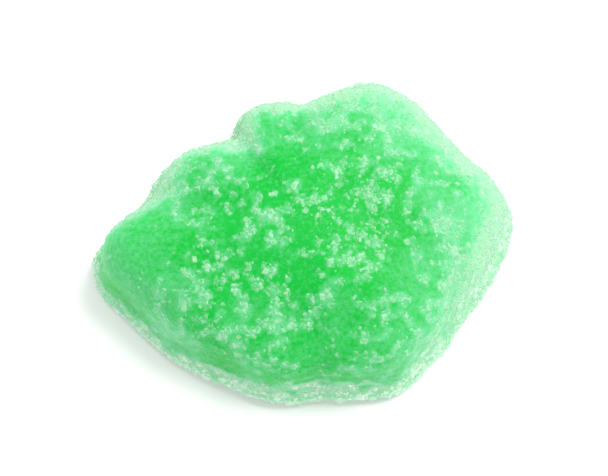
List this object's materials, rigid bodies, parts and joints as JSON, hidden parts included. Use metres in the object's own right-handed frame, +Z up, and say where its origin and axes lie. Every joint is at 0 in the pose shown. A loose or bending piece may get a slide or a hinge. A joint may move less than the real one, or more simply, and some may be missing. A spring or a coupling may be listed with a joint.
{
  "type": "spearmint leaf candy",
  "caption": "Leaf-shaped green jelly candy with a lobed edge, a domed face and a flat back, coated all over in sanding sugar.",
  "frame": {"origin": "middle of the footprint, on the flat back that the candy rests on", "axes": "+X from the leaf's narrow tip to its broad end, +Y across the leaf, +Z up through the domed face"},
  "size_m": [0.038, 0.0292, 0.0117],
  "materials": {
    "sugared_jelly": "translucent green pectin jelly under a rough coat of clear to white sanding sugar"
  },
  "bodies": {
    "root": {"spearmint_leaf_candy": "sugared_jelly"}
  },
  "joints": []
}
